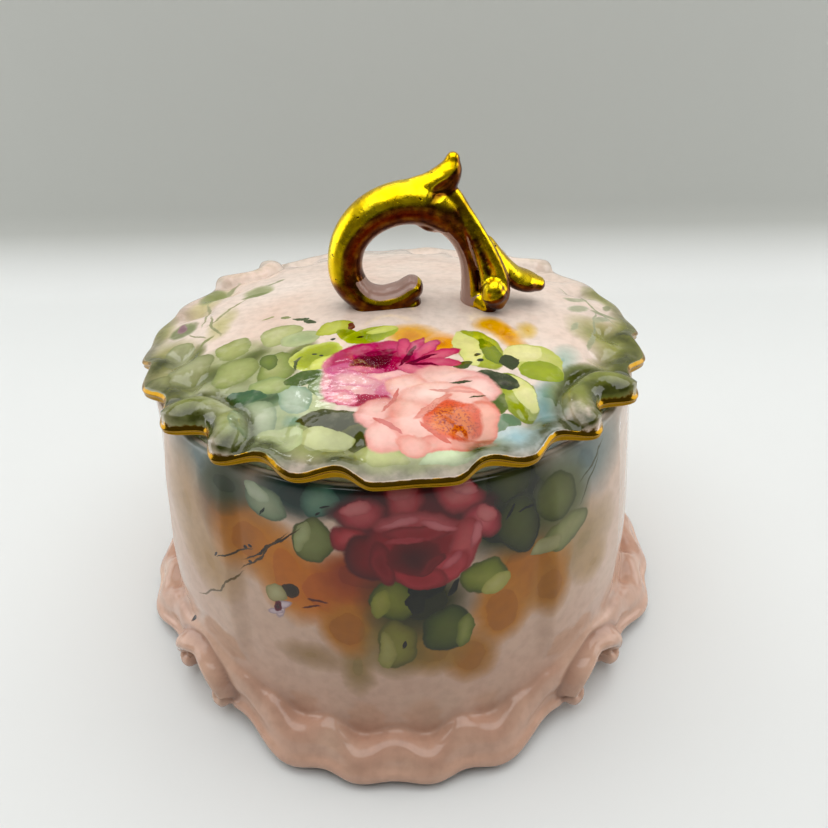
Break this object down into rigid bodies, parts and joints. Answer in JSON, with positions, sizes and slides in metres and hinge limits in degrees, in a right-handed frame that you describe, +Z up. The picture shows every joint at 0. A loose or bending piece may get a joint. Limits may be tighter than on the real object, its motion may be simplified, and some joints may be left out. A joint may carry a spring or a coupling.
{
  "type": "covered butter dish",
  "caption": "Hand-painted porcelain butter dish: ruffled jar, pierced drainer inside, lobed lid with gilt edge and scroll handle.",
  "frame": {"origin": "centre of the dish on the surface it stands on", "axes": "+Z up along the lift of the lid, front lobe towards -Y, handle in the XZ plane with its leaf towards +X"},
  "size_m": [0.184, 0.184, 0.1479],
  "materials": {
    "painted_jar": "glossy glaze over a painted rose, leaves and soft colour washes on pink",
    "painted_lid": "glossy glaze over painted roses and leaves on cream pink, gilt rim",
    "plain_porcelain": "clear glossy glaze",
    "gilt_porcelain": "burnished gold over glaze, worn in places, bare pink inside the scroll"
  },
  "bodies": {
    "jar": {"jar_body": "painted_jar"},
    "lid": {"lid": "painted_lid", "lid_collar": "plain_porcelain", "handle": "gilt_porcelain"},
    "drainer": {"drainer": "plain_porcelain"}
  },
  "joints": [
    {"name": "lid_lift", "type": "slide", "parent": "jar", "child": "lid", "axis": [0, 0, 1], "range_m": [0, 0.12]},
    {"name": "drainer_lift", "type": "slide", "parent": "jar", "child": "drainer", "axis": [0, 0, 1], "range_m": [0, 0.072]}
  ],
  "couplings": [
    {"joint": "drainer_lift", "follows": "lid_lift", "ratio": 0.6}
  ]
}
